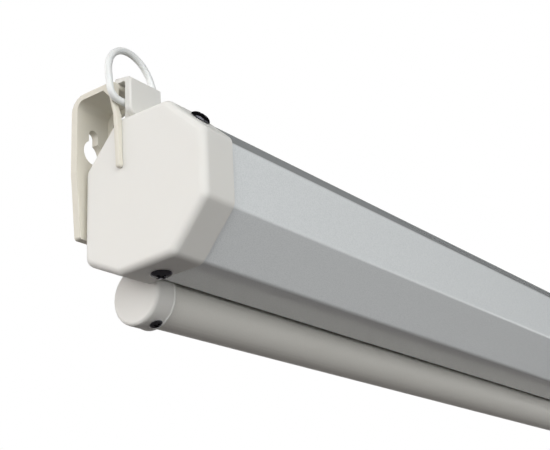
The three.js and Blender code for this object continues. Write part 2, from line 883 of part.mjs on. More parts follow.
// Cup-shaped end of the batten in end coordinates, with a bead round its mouth.
function battenCap() {
  const inner = battenRadius + clearance;
  const bead = battenCapRadius + battenCapBead;
  const beadStart = battenCapLength - battenCapBeadLength;
  const profile = flat([[0, 0], [battenCapRadius - battenCapEdge, 0]]);
  for (let k = 1; k <= cornerSteps; k += 1) {
    const angle = (Math.PI / 2) * (k / cornerSteps);
    profile.push(new THREE.Vector2(
      battenCapRadius - battenCapEdge * (1 - Math.sin(angle)),
      battenCapEdge * (1 - Math.cos(angle)),
    ));
  }
  profile.push(...flat([
    [battenCapRadius, beadStart - battenCapBead],
    [bead, beadStart],
    [bead, battenCapLength],
    [inner, battenCapLength],
    [inner, battenCapEnd],
    [0, battenCapEnd],
  ]));
  const cup = new THREE.LatheGeometry(profile, roundSides).rotateZ(-Math.PI / 2);
  cup.translate(battenInset, battenPlace, battenHeight);
  return cut(solid(cup), bore(battenScrew, battenScrewSite()));
}

function battenScrewSite() {
  const facing = new THREE.Vector2(-Math.cos(battenScrewAngle), -Math.sin(battenScrewAngle));
  return {
    x: battenInset + battenScrewPlace,
    foot: new THREE.Vector2(battenPlace, battenHeight).addScaledVector(facing, battenCapRadius),
    out: facing,
  };
}

function battenPieces(saddleHoles) {
  const half = fabricWidth / 2;
  const hole = bore(battenScrew, battenScrewSite());
  const holes = [atLeftEnd(hole), atRightEnd(hole), ...saddleHoles];
  return [
    piece("batten_tube", cut(battenTube(), ...holes), battenCoat),
    piece("hem_rod", rod(hemRodRadius, -half, half, battenPlace, hemRodHeight), nylon),
  ];
}

// Pull handle: a saddle under the batten with two ears, and a bail that swings between them.
function handlePieces() {
  const y = battenPlace;
  const z = battenHeight;
  const inner = battenRadius + clearance;
  const outer = inner + saddleThickness;
  const start = -Math.PI / 2 - saddleHalfAngle;
  const arc = (radius, back) => {
    const points = [];
    for (let k = 0; k <= 2 * cornerSteps; k += 1) {
      const share = back ? 1 - k / (2 * cornerSteps) : k / (2 * cornerSteps);
      const angle = start + 2 * saddleHalfAngle * share;
      points.push(new THREE.Vector2(y + radius * Math.cos(angle), z + radius * Math.sin(angle)));
    }
    return points;
  };
  const strap = [...arc(outer, false), ...arc(inner, true)];
  const shell = solid(alongX(strap, -saddleLength / 2, saddleLength / 2));
  const pivot = z - outer - earDrop + earRadius;
  const ears = [-1, 1].map((way) => {
    const low = way * earPlace - earThickness / 2;
    const high = way * earPlace + earThickness / 2;
    const root = z - inner - saddleThickness / 2;
    const neck = solid(block([low, y - earRadius, pivot], [high, y + earRadius, root]));
    return join(neck, solid(rod(earRadius, low, high, y, pivot)));
  });
  const pivotBore = solid(rod(handlePin + runningClearance, -saddleLength, saddleLength, y, pivot));
  const screws = [-1, 1].map((way) => ({
    x: way * saddleScrewPlace,
    foot: new THREE.Vector2(y, z - outer),
    out: new THREE.Vector2(0, -1),
  }));
  const holes = screws.map((site) => bore(battenScrew, site));
  const saddle = cut(join(shell, ...ears), pivotBore, ...holes);
  return {
    fixed: [
      piece("handle_saddle", saddle, handlePlastic),
      ...screws.map((site, i) => piece(
        `saddle_screw_${i === 0 ? "left" : "right"}`,
        stand(screw(battenScrew, clearance), site),
        steel,
      )),
    ],
    swinging: [piece("pull_handle", bail(pivot), handlePlastic)],
    holes,
  };
}

// The bail: a rounded loop of plastic rod with thin pins turned in at its two ends.
function bail(pivot) {
  const legX = earPlace + earThickness / 2 + handleGap + handleWire / 2;
  const wide = handleHalfWidth - handleWire / 2;
  const drop = -handleDrop;
  const points = rounded(
    flat([[-legX, 0], [-wide, drop], [wide, drop], [legX, 0]]),
    [0, handleCorner, handleCorner, 0],
    false,
  ).map((p) => new THREE.Vector3(p.x, 0, p.y));
  points[0].z += handlePin;
  points[points.length - 1].z += handlePin;
  const loop = solid(sweep(points, handleWire / 2).translate(0, battenPlace, pivot));
  const reach = earPlace - earThickness / 2;
  const pins = [-1, 1].map((way) => {
    const ends = [way * reach, way * legX].sort((a, b) => a - b);
    return solid(rod(handlePin, ends[0], ends[1], battenPlace, pivot));
  });
  return join(loop, ...pins);
}

// The whole screen, with the wall at Y = 0.
const screen = new THREE.Group();
screen.position.y = -wallPlace;

const leftEnd = new THREE.Group();
leftEnd.position.x = -screenLength / 2;
leftEnd.add(...endPieces("left"), ...idlePieces());

const rightEnd = new THREE.Group();
rightEnd.position.x = screenLength / 2;
rightEnd.scale.x = -1;
rightEnd.add(...endPieces("right"), ...springPieces());

const handle = handlePieces();
const middle = new THREE.Group();
middle.add(piece("screen_case", screenCase(), coat), ...rollerPieces(), ...battenPieces(handle.holes));
middle.add(...handle.fixed, ...handle.swinging);

screen.add(leftEnd, rightEnd, middle);

export default screen;
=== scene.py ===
import json
import math

import bmesh
import bpy
from bpy.props import FloatProperty, FloatVectorProperty, IntProperty, PointerProperty
from mathutils import Matrix, Vector

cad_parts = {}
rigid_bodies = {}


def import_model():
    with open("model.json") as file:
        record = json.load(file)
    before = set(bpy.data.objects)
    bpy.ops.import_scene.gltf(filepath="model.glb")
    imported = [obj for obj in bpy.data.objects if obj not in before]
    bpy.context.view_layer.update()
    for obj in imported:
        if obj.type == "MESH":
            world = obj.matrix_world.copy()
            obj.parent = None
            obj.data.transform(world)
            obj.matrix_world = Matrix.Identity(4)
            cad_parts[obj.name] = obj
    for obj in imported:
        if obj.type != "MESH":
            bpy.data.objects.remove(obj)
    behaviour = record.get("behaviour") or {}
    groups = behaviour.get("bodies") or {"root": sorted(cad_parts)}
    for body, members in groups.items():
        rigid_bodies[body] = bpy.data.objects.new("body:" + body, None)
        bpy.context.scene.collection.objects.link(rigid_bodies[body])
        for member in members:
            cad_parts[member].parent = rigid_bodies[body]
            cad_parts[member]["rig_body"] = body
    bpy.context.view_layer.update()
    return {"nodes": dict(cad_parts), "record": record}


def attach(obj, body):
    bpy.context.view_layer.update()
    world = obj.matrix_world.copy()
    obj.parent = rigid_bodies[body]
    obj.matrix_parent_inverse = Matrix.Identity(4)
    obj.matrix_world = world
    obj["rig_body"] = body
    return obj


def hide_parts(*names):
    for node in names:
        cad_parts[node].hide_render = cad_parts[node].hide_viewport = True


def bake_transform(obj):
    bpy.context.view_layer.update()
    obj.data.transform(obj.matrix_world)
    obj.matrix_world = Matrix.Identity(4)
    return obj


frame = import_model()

bl_info = {
    "name": "Pull-down projector screen",
    "version": (1, 0, 0),
    "blender": (4, 5, 0),
    "location": "View3D > Sidebar > Screen",
    "description": "Finishes, mouldings, rings, screws, spring, cloth and handle of a projector screen",
    "category": "Add Mesh",
}

# One millimetre in the frame's metres.
MM = 0.001

# Places in the CAD frame that the new pieces share, in millimetres.
HALF_LENGTH = 680
WALL = 46.8
ROLLER_Y = 5.944 - WALL
ROLLER_Z = 5
BATTEN_Y = 30.3 - WALL
SEAT = 0.3

ENDS = (("left", -1), ("right", 1))

# Points closer than this are merged, in millimetres. Then four angles in radians: faces that meet at less
# than the first are made one, edges below the second are shaded smooth, edges above the third are bevelled,
# and edges above the last are the rims of a rod's ends.
WELD = 0.002
FLAT_BELOW = math.radians(0.5)
SMOOTH_BELOW = math.radians(32)
BEVEL_ABOVE = math.radians(40)
RIM_ABOVE = 1

# Sockets of a Mix node: its factor and two colours, its two numbers, and what it gives.
FACTOR, COLOUR_A, COLOUR_B = 0, 6, 7
NUMBER_A, NUMBER_B = 2, 3
MIXED_NUMBER, MIXED_COLOUR = 0, 2


def linear(hex_colour):
    """An sRGB hex colour as linear red, green, blue and alpha."""
    parts = [int(hex_colour[i : i + 2], 16) / 255 for i in (0, 2, 4)]
    return tuple(c / 12.92 if c <= 0.04045 else ((c + 0.055) / 1.055) ** 2.4 for c in parts) + (1.0,)


def per_mm(size):
    """Texture scale at which one step of a pattern is this many millimetres long."""
    return 1 / (size * MM)


def colour(label, text, hex_colour):
    """A colour setting whose default is an sRGB hex value."""
    return FloatVectorProperty(
        name=label, description=text, subtype="COLOR", size=4, min=0, max=1, default=linear(hex_colour),
    )


def strength(label, text, amount):
    """A setting that is a plain amount of light."""
    return FloatProperty(name=label, description=text, default=amount, min=0)


def length(label, text, size):
    """A length setting whose default is in millimetres."""
    return FloatProperty(name=label, description=text, subtype="DISTANCE", unit="LENGTH", default=size * MM)


class ScreenColours(bpy.types.PropertyGroup):
    """Colours of the screen's finishes"""

    case: colour("Case", "Powder coat of the sheet-metal case", "F1F5F6")
    case_speck: colour("Case speck", "Darker specks in the powder coat", "E3E8E9")
    cap: colour("Caps", "Moulded end caps and batten caps", "E6E6E2")
    bracket: colour("Brackets", "Moulded wall brackets", "DEDBCF")
    ring: colour("Rings", "Moulded hanging rings", "ECEFEE")
    screw: colour("Screws", "Blackened steel screws", "606066")
    batten: colour("Batten", "Coated batten tube", "F0EFE8")
    cloth: colour("Cloth front", "Viewing surface of the cloth", "F1F1EE")
    border: colour("Cloth back", "Black back and borders of the cloth", "1B1B1D")
    handle: colour("Handle", "Moulded pull handle", "E4E2DC")
    nylon: colour("Nylon", "Bushes, plugs and bearing plates", "ECE8DB")
    steel: colour("Steel", "Turned steel pin and shaft", "C6C7C9")
    zinc: colour("Zinc", "Zinc-plated roller, washer, wheel and pawls", "B7BCC0")
    spring: colour("Spring", "Oil-tempered spring wire", "6E7176")


class ScreenSizes(bpy.types.PropertyGroup):
    """Sizes of the pieces that are made here"""

    ring_wire: length("Ring wire", "Thickness of the hanging ring", 3.8)
    ring_half_width: length("Ring half width", "From the ring's middle to its wire's centre line", 16.9)
    ring_height: length("Ring height", "From the ring's bar to its top", 34.4)
    ring_corner: length("Ring corner", "Bend at each end of the bar", 6)
    ring_leg: length("Ring leg", "Straight part above the bend", 15)
    spring_wire: length("Spring wire", "Thickness of the torsion spring's wire", 2.4)
    spring_radius: length("Spring radius", "Outer radius of the torsion spring", 12)
    spring_turns: IntProperty(name="Spring turns", description="Number of coils", default=106, min=1)
    cloth_thickness: length("Cloth thickness", "Thickness of the coated cloth", 0.32)
    cloth_width: length("Cloth width", "Width of the cloth", 1250)
    cloth_border: length("Border", "Width of the black border", 30)
    handle_wire: length("Handle rod", "Thickness of the pull handle's rod", 5)


class StageSettings(bpy.types.PropertyGroup):
    """Light and floor"""

    key: strength("Key", "Strength of the light from the left and the room", 4.3)
    side: strength("Side", "Strength of the light from the left and the wall", 2.9)
    ambient: strength("Ambient", "Light from all round", 0.17)
    ceiling: strength("Ceiling", "How bright reflections show the ceiling", 0.03)
    floor_lift: strength("Floor lift", "How much paler the camera sees the floor", 0.5)
    floor_depth: length("Floor depth", "How far the floor lies below the origin", 2300)


def settings():
    """The three groups of settings of the open scene."""
    scene = bpy.context.scene
    return scene.screen_colours, scene.screen_sizes, scene.screen_stage


def add(owner, kind, inputs=None, **options):
    """Adds one node to a material or the world, sets its options and sets or links its inputs."""
    node = owner.node_tree.nodes.new(kind)
    for option, value in options.items():
        setattr(node, option, value)
    for socket, value in (inputs or {}).items():
        if isinstance(value, bpy.types.NodeSocket):
            owner.node_tree.links.new(value, node.inputs[socket])
        else:
            node.inputs[socket].default_value = value
    return node


def new_material(name):
    """An empty node material; one that exists already is cleared and used again."""
    material = bpy.data.materials.get(name) or bpy.data.materials.new(name)
    material.use_nodes = True
    material.node_tree.nodes.clear()
    return material


def powder_coat():
    """Sheet steel with a polyester powder coat: pin-point specks and slight orange peel.

    Its smooth clear skin mirrors what lies close by, such as the batten under the case.
    """
    colours = settings()[0]
    m = new_material("powder_coated_sheet_steel")
    place = add(m, "ShaderNodeTexCoord").outputs["Object"]
    # Real specks are about a tenth of a millimetre; they are drawn coarser so that they show.
    speck = add(m, "ShaderNodeTexNoise", {
        "Vector": place, "Scale": per_mm(0.6), "Detail": 2.0, "Roughness": 0.7,
    })
    spots = add(m, "ShaderNodeMapRange", {"Value": speck.outputs["Fac"], "From Min": 0.3, "From Max": 0.6})
    tone = add(m, "ShaderNodeMix", {
        FACTOR: spots.outputs["Result"], COLOUR_A: colours.case_speck, COLOUR_B: colours.case,
    }, data_type="RGBA")
    cloud = add(m, "ShaderNodeTexNoise", {"Vector": place, "Scale": per_mm(60), "Detail": 2.0})
    gloss = add(m, "ShaderNodeMapRange", {"Value": cloud.outputs["Fac"], "To Min": 0.2, "To Max": 0.28})
    peel = add(m, "ShaderNodeTexNoise", {
        "Vector": place, "Scale": per_mm(2.2), "Detail": 2.0, "Roughness": 0.5,
    })
    bump = add(m, "ShaderNodeBump", {
        "Height": peel.outputs["Fac"], "Strength": 0.25, "Distance": 0.03 * MM,
    })
    shader = add(m, "ShaderNodeBsdfPrincipled", {
        "Base Color": tone.outputs[MIXED_COLOUR], "Roughness": gloss.outputs["Result"],
        "Metallic": 0.0, "IOR": 1.5, "Coat Weight": 0.7, "Coat Roughness": 0.06, "Coat IOR": 1.5,
        "Normal": bump.outputs["Normal"],
    })
    add(m, "ShaderNodeOutputMaterial", {"Surface": shader.outputs["BSDF"]})
    return m


def moulded(name, base, grain, low, high, warmth):
    """Injection-moulded plastic: one colour through, an eroded mould's fine matt grain and a soft gloss.

    The real grain is 0.1 to 0.3 mm wide; it is drawn coarser so that it shows.
    """
    m = new_material(name)
    place = add(m, "ShaderNodeTexCoord").outputs["Object"]
    flow = add(m, "ShaderNodeTexNoise", {
        "Vector": place, "Scale": per_mm(35), "Detail": 3.0, "Roughness": 0.5,
    })
    # Blue falls most and red least, so the shade is the warmer of the two tones.
    shade = [c * (1 - warmth * k) for c, k in zip(base[:3], (0.6, 1.0, 1.8))] + [1.0]
    tone = add(m, "ShaderNodeMix", {
        FACTOR: flow.outputs["Fac"], COLOUR_A: shade, COLOUR_B: base,
    }, data_type="RGBA")
    skin = add(m, "ShaderNodeTexNoise", {
        "Vector": place, "Scale": per_mm(grain), "Detail": 4.0, "Roughness": 0.65,
    })
    gloss = add(m, "ShaderNodeMapRange", {"Value": skin.outputs["Fac"], "To Min": low, "To Max": high})
    bump = add(m, "ShaderNodeBump", {"Height": skin.outputs["Fac"], "Strength": 0.2, "Distance": 0.05 * MM})
    shader = add(m, "ShaderNodeBsdfPrincipled", {
        "Base Color": tone.outputs[MIXED_COLOUR], "Roughness": gloss.outputs["Result"],
        "Metallic": 0.0, "IOR": 1.5, "Subsurface Weight": 0.04, "Subsurface Radius": (1.2, 1.0, 0.8),
        "Subsurface Scale": 1.0 * MM, "Normal": bump.outputs["Normal"],
    })
    add(m, "ShaderNodeOutputMaterial", {"Surface": shader.outputs["BSDF"]})
    return m


def blackened_screw():
    """Case-hardened steel screw, blackened in salts: oily gloss with bright glints on the rim.

    Its metal is a dark grey that looks almost black where it mirrors a dark room. The film's unevenness is
    drawn coarser than real, so that its glints show.
    """
    pale = settings()[0].screw
    m = new_material("blackened_steel_screw")
    place = add(m, "ShaderNodeTexCoord").outputs["Object"]
    film = add(m, "ShaderNodeTexNoise", {"Vector": place, "Scale": per_mm(1.4), "Detail": 3.0})
    dark = [c * 0.5 for c in pale[:3]] + [1.0]
    tone = add(m, "ShaderNodeMix", {
        FACTOR: film.outputs["Fac"], COLOUR_A: dark, COLOUR_B: pale,
    }, data_type="RGBA")
    gloss = add(m, "ShaderNodeMapRange", {"Value": film.outputs["Fac"], "To Min": 0.1, "To Max": 0.2})
    bump = add(m, "ShaderNodeBump", {"Height": film.outputs["Fac"], "Strength": 0.7, "Distance": 0.2 * MM})
    shader = add(m, "ShaderNodeBsdfPrincipled", {
        "Base Color": tone.outputs[MIXED_COLOUR], "Roughness": gloss.outputs["Result"], "Metallic": 1.0,
        "Normal": bump.outputs["Normal"],
    })
    add(m, "ShaderNodeOutputMaterial", {"Surface": shader.outputs["BSDF"]})
    return m


def worked_metal(name, base, low, high, stretch, grain):
    """Metal with the marks of its making: long marks for drawn or rolled stock, round ones for plate.

    Real marks are finer than a tenth of a millimetre; they are drawn coarser so that they show.
    """
    m = new_material(name)
    place = add(m, "ShaderNodeTexCoord").outputs["Object"]
    drawn = add(m, "ShaderNodeMapping", {"Vector": place, "Scale": stretch})
    marks = add(m, "ShaderNodeTexNoise", {
        "Vector": drawn.outputs["Vector"], "Scale": per_mm(grain), "Detail": 4.0,
    })
    dull = [c * 0.8 for c in base[:3]] + [1.0]
    tone = add(m, "ShaderNodeMix", {
        FACTOR: marks.outputs["Fac"], COLOUR_A: dull, COLOUR_B: base,
    }, data_type="RGBA")
    gloss = add(m, "ShaderNodeMapRange", {"Value": marks.outputs["Fac"], "To Min": low, "To Max": high})
    bump = add(m, "ShaderNodeBump", {
        "Height": marks.outputs["Fac"], "Strength": 0.15, "Distance": 0.02 * MM,
    })
    shader = add(m, "ShaderNodeBsdfPrincipled", {
        "Base Color": tone.outputs[MIXED_COLOUR], "Roughness": gloss.outputs["Result"], "Metallic": 1.0,
        "Normal": bump.outputs["Normal"],
    })
    add(m, "ShaderNodeOutputMaterial", {"Surface": shader.outputs["BSDF"]})
    return m


def coated_extrusion():
    """Extruded aluminium with a thin satin coat: faint die lines run along the tube.

    Real lines and grain are finer than a fifth of a millimetre; they are drawn coarser so that they show.
    """
    colours = settings()[0]
    m = new_material("coated_extruded_aluminium")
    place = add(m, "ShaderNodeTexCoord").outputs["Object"]
    along = add(m, "ShaderNodeMapping", {"Vector": place, "Scale": (0.01, 1.0, 1.0)})
    lines = add(m, "ShaderNodeTexNoise", {
        "Vector": along.outputs["Vector"], "Scale": per_mm(1.1), "Detail": 4.0,
    })
    grain = add(m, "ShaderNodeTexNoise", {
        "Vector": place, "Scale": per_mm(0.9), "Detail": 3.0, "Roughness": 0.7,
    })
    shade = [c * 0.88 for c in colours.batten[:3]] + [1.0]
    tone = add(m, "ShaderNodeMix", {
        FACTOR: grain.outputs["Fac"], COLOUR_A: shade, COLOUR_B: colours.batten,
    }, data_type="RGBA")
    gloss = add(m, "ShaderNodeMapRange", {"Value": lines.outputs["Fac"], "To Min": 0.34, "To Max": 0.5})
    bump = add(m, "ShaderNodeBump", {
        "Height": lines.outputs["Fac"], "Strength": 0.15, "Distance": 0.04 * MM,
    })
    shader = add(m, "ShaderNodeBsdfPrincipled", {
        "Base Color": tone.outputs[MIXED_COLOUR], "Roughness": gloss.outputs["Result"],
        "Metallic": 0.0, "IOR": 1.46, "Specular IOR Level": 0.4, "Normal": bump.outputs["Normal"],
    })
    add(m, "ShaderNodeOutputMaterial", {"Surface": shader.outputs["BSDF"]})
    return m


def woven(m, place, base):
    """Glass-fibre cloth under a matt vinyl coat: the plain weave shows as a fine grid of dimples.

    Real threads lie about 0.5 mm apart; the grid is drawn coarser so that it shows.
    """
    thread = {"Scale": per_mm(1.2), "Distortion": 0.0, "Detail": 0.0}
    warp = add(m, "ShaderNodeTexWave", {"Vector": place, **thread}, bands_direction="X")
    weft = add(m, "ShaderNodeTexWave", {"Vector": place, **thread}, bands_direction="Y")
    weave = add(m, "ShaderNodeMath", {0: warp.outputs["Fac"], 1: weft.outputs["Fac"]}, operation="MULTIPLY")
    bump = add(m, "ShaderNodeBump", {
        "Height": weave.outputs["Value"], "Strength": 0.25, "Distance": 0.05 * MM,
    })
    shader = add(m, "ShaderNodeBsdfPrincipled", {
        "Base Color": base, "Roughness": 0.85, "Metallic": 0.0, "IOR": 1.5, "Sheen Weight": 0.05,
        "Normal": bump.outputs["Normal"],
    })
    add(m, "ShaderNodeOutputMaterial", {"Surface": shader.outputs["BSDF"]})


def cloth_front():
    """Viewing side of the cloth: matt white inside a printed black border.

    U runs across the cloth and V down it, in metres.
    """
    colours, sizes, _ = settings()
    m = new_material("coated_screen_cloth_front")
    place = add(m, "ShaderNodeUVMap", uv_map="cut").outputs["UV"]
    axes = add(m, "ShaderNodeSeparateXYZ", {"Vector": place})
    middle = add(m, "ShaderNodeMath", {
        0: axes.outputs["X"], 1: sizes.cloth_width / 2,
    }, operation="SUBTRACT")
    side = add(m, "ShaderNodeMath", {0: middle.outputs["Value"]}, operation="ABSOLUTE")
    edge = sizes.cloth_width / 2 - sizes.cloth_border
    across = add(m, "ShaderNodeMath", {0: side.outputs["Value"], 1: edge}, operation="GREATER_THAN")
    head = add(m, "ShaderNodeMath", {0: axes.outputs["Y"], 1: LEADER * MM}, operation="LESS_THAN")
    foot = add(m, "ShaderNodeMath", {
        0: axes.outputs["Y"], 1: FOOT_BORDER * MM,
    }, operation="GREATER_THAN")
    ends = add(m, "ShaderNodeMath", {
        0: head.outputs["Value"], 1: foot.outputs["Value"],
    }, operation="MAXIMUM")
    black = add(m, "ShaderNodeMath", {
        0: ends.outputs["Value"], 1: across.outputs["Value"],
    }, operation="MAXIMUM")
    tone = add(m, "ShaderNodeMix", {
        FACTOR: black.outputs["Value"], COLOUR_A: colours.cloth, COLOUR_B: colours.border,
    }, data_type="RGBA")
    woven(m, place, tone.outputs[MIXED_COLOUR])
    return m


def cloth_back():
    """Back of the cloth: a black vinyl coat that keeps light from passing, a little dusty."""
    black = settings()[0].border
    m = new_material("coated_screen_cloth_back")
    place = add(m, "ShaderNodeUVMap", uv_map="cut").outputs["UV"]
    dust = add(m, "ShaderNodeTexNoise", {"Vector": place, "Scale": per_mm(40), "Detail": 3.0})
    dusty = [c * 1.6 for c in black[:3]] + [1.0]
    tone = add(m, "ShaderNodeMix", {
        FACTOR: dust.outputs["Fac"], COLOUR_A: black, COLOUR_B: dusty,
    }, data_type="RGBA")
    woven(m, place, tone.outputs[MIXED_COLOUR])
    return m


def finishes():
    """Every finish by the name of the record's material slot."""
    c = settings()[0]
    return {
        "case_coat": powder_coat(),
        "cap_plastic": moulded("moulded_abs_cap", c.cap, 0.8, 0.56, 0.7, 0.02),
        "bracket_plastic": moulded("moulded_abs_bracket", c.bracket, 0.8, 0.5, 0.62, 0.03),
        "ring_plastic": moulded("moulded_nylon_ring", c.ring, 1.2, 0.28, 0.4, 0.01),
        "handle_plastic": moulded("moulded_abs_handle", c.handle, 0.8, 0.38, 0.52, 0.02),
        "nylon": moulded("moulded_nylon_bush", c.nylon, 0.6, 0.45, 0.6, 0.04),
        "black_screw": blackened_screw(),
        "bright_steel": worked_metal("turned_bright_steel", c.steel, 0.22, 0.36, (40.0, 1.0, 1.0), 6),
        "zinc_steel": worked_metal("zinc_plated_steel", c.zinc, 0.32, 0.5, (0.3, 1.0, 1.0), 5),
        "spring_steel": worked_metal("oil_tempered_spring_wire", c.spring, 0.3, 0.45, (1.0, 1.0, 1.0), 1.5),
        "batten_coat": coated_extrusion(),
        "screen_cloth": cloth_front(),
    }


def slot_of(node):
    """The record's material slot of a CAD node."""
    for part in frame["record"]["subparts"]:
        if part["node"] == node:
            return part["material_slot"]
    raise RuntimeError(f"the record has no material slot for {node}")


def body_of(node):
    """The CAD body that a node rides on."""
    return frame["nodes"][node]["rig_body"]


def loose_object(name, bm):
    """Turns a bmesh into an object of the scene."""
    mesh = bpy.data.meshes.new(name)
    bm.to_mesh(mesh)
    bm.free()
    made = bpy.data.objects.new(name, mesh)
    bpy.context.scene.collection.objects.link(made)
    return made


def as_piece(name, bm, node):
    """Makes a piece from a bmesh, gives it a CAD node's finish and lets it stand for that node."""
    bmesh.ops.recalc_face_normals(bm, faces=bm.faces)
    for face in bm.faces:
        face.smooth = True
    for edge in bm.edges:
        edge.smooth = len(edge.link_faces) == 2 and edge.calc_face_angle(math.pi) < SMOOTH_BELOW
    piece = loose_object(name, bm)
    for material in frame["nodes"][node].data.materials:
        piece.data.materials.append(material)
    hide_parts(node)
    return piece


def sweep(points, radius, sides):
    """A round bar along points in an X-Z plane: a circle drawn out from one point to the next."""
    across = Vector((0, 1, 0))
    bm = bmesh.new()
    made = bmesh.ops.create_circle(bm, segments=sides, radius=radius)["verts"]
    edges = list(bm.edges)
    frames = []
    for i, point in enumerate(points):
        along = (points[min(i + 1, len(points) - 1)] - points[max(i - 1, 0)]).normalized()
        side = across.cross(along).normalized()
        up = along.cross(side)
        frames.append(Matrix.Translation(point) @ Matrix((side, up, along)).transposed().to_4x4())
    bmesh.ops.transform(bm, matrix=frames[0], verts=made)
    first = list(edges)
    for before, after in zip(frames, frames[1:]):
        drawn = bmesh.ops.extrude_edge_only(bm, edges=edges)["geom"]
        edges = [g for g in drawn if isinstance(g, bmesh.types.BMEdge)]
        verts = [g for g in drawn if isinstance(g, bmesh.types.BMVert)]
        bmesh.ops.transform(bm, matrix=after @ before.inverted(), verts=verts)
    bmesh.ops.contextual_create(bm, geom=first)
    bmesh.ops.contextual_create(bm, geom=edges)
    return bm


def round_ends(bm, radius, segments):
    """Rounds the rims of a bar's two ends."""
    rims = [e for e in bm.edges if e.calc_face_angle(0) > RIM_ABOVE]
    bmesh.ops.bevel(
        bm, geom=rims, offset=radius * MM, segments=segments, profile=0.5, affect="EDGES", material=-1,
    )


def arc(centre, radii, start, end, steps):
    """Points of an arc in the X-Z plane, angles in quarter turns."""
    angles = [(start + (end - start) * k / steps) * math.pi / 2 for k in range(steps + 1)]
    return [
        Vector((centre[0] + radii[0] * math.cos(a), 0, centre[1] + radii[1] * math.sin(a))) for a in angles
    ]


def facing(place, y, z, out_y, out_z):
    """Matrix of a screw that stands at a place and faces out in the section plane."""
    out = Vector((0, out_y, out_z)).normalized()
    return Matrix.Translation(Vector((place, y, z)) * MM) @ out.to_track_quat("Z", "Y").to_matrix().to_4x4()


# Ring: where its bar lies, with X measured in from the end, its lean, and the gap between its wire's ends and
# their rounding.
RING_X = 8.9
RING_Y = 13.4 - WALL
RING_Z = 50.4
RING_LEAN = math.radians(-7)
RING_JOINT = 0.5
RING_ROUNDING = 0.3

# How finely the rods and the ring's bends are divided.
ROD_SIDES = 24
RING_BEND_STEPS = 10
RING_TOP_STEPS = 64
HANDLE_BEND_STEPS = 12

# Hook: the plane of its front face, the height above which its edges are free, their rounding, and how far
# off the plane a corner may lie.
HOOK_FRONT = 7.4 - WALL
HOOK_FOOT = 42.2
HOOK_EDGE = 1.3
PLANE_GAP = 0.15

# Leg of the bracket: its outer face lies beyond this X, in front of this Y and below this Z; its rounding.
LEG_FACE = 682.85
LEG_BACK = -26
LEG_TOP = 53
LEG_EDGE = 1.1

# Screws: name, radius, height, shank radius, length, X, Y and Z of the seat, and the Y and Z that the head
# faces. X is measured in from the end, and for the saddle's screws out from the middle.
CAP_SCREWS = (
    ("cap_screw_top", 5.4, 2.9, 2.0, 11.0, 12.2, -28.9 - WALL, 30.35, -0.6906, 0.7232),
    ("cap_screw_bottom", 5.6, 2.2, 2.0, 11.0, 15.2, 1.6 - WALL, -43.045, -0.0499, -0.9988),
    ("batten_cap_screw", 3.5, 1.5, 1.4, 5.2, 35.0, 24.01 - WALL, -60.62, -0.3907, -0.9205),
)
SADDLE_SCREW = ("saddle_screw", 3.5, 1.5, 1.4, 5.2, 17.0, BATTEN_Y, -62.9, 0.0, -1.0)

# How finely a screw is divided, and the fewest faces that it can have once its recess is cut.
SCREW_SIDES = 40
DOME_STEPS = 9
FEWEST_FACES = 50

# Shares of a screw: height of the dome's rim, width of its underside and where the shank ends; and the
# radius of its blunt tip.
RIM_SHARE = 0.12
UNDERSIDE_SHARE = 0.97
SHANK_SHARE = 0.85
TIP_RADIUS = 0.3

# Cross recess, as shares of the head: how far an arm reaches, half its width, its floor and the cutter's top,
# and then how much of the reach and of the width there is at the floor and at the top.
CROSS_REACH = 0.76
CROSS_HALF = 0.19
CROSS_FLOOR = 0.35
CROSS_TOP = 1.3
REACH_TAPER = (0.42, 1.12)
WIDTH_TAPER = (0.7, 1.1)

# Spring: how far in from the end its first coil starts, and how long it is.
SPRING_START = 44.3
SPRING_LENGTH = 262
WIRE_SIDES = 8
STEPS_A_TURN = 20

# Cloth: wound from this radius, this long, its turns this far apart, with one row of faces for each step.
# The fall runs from the roller's height to the batten's groove, and it grows by the travel.
# The cloth is black up to the leader's end and from the foot border on, both measured down the cloth.
WOUND_RADIUS = 20.5
CLOTH_LENGTH = 1400
CLOTH_PITCH = 0.35
WOUND_STEP = math.radians(9)
FALL_ROWS = 96
FALL_TOP = 5
FALL_BOTTOM = -33.6
TRAVEL = 1250
LEADER = 120
FOOT_BORDER = TRAVEL - 12

# Pull handle: half widths at the ears and at the grip, drop, bend, rounding of its ends and height of its
# pivot. Then its pins' radius, where they start and how many sides they have.
HANDLE_TOP = 13.7
HANDLE_GRIP = 24.5
HANDLE_DROP = 34
HANDLE_BEND = 9
HANDLE_ROUNDING = 0.8
HANDLE_PIVOT = -67.9
HANDLE_PIN = 1.6
HANDLE_PIN_START = 7.4
PIN_SIDES = 20

# Lamps: name, setting of its strength, tint, the way its light travels and how wide it spreads, in degrees.
LAMPS = (
    ("key_light", "key", "FFFFFF", Vector((0.682, 0.731, 0.07)), 100),
    ("side_light", "side", "FFF9F8", Vector((0.5, -0.866, 0.05)), 100),
)

# Floor: half its side in metres, its two tones for the camera, and its tone for the light it throws back.
FLOOR_HALF = 14
FLOOR_LOW = "DEDCD8"
FLOOR_HIGH = "E3E1DD"
FLOOR_BOUNCE = "827F7E"

# Height at which the room's wall has faded to the ceiling, as the upward share of a direction.
WALL_TOP = 0.2

# Camera: place in metres; yaw, pitch and roll in degrees; lens and sensor in millimetres; reach in metres.
CAMERA_PLACE = (-1.0412, -0.3899, -0.2106)
CAMERA_TURNS = (54, 20.5, -3.18)
CAMERA_LENS = 70.42
CAMERA_SENSOR = 36
CAMERA_REACH = 50


class SCREEN_OT_finishes(bpy.types.Operator):
    """Give every CAD node its finish"""

    bl_idname = "screen.finishes"
    bl_label = "Finishes"

    def execute(self, context):
        made = finishes()
        for name, node in frame["nodes"].items():
            material = made[slot_of(name)]
            if not node.data.materials:
                node.data.materials.append(material)
            for i in range(len(node.data.materials)):
                node.data.materials[i] = material
        return {"FINISHED"}


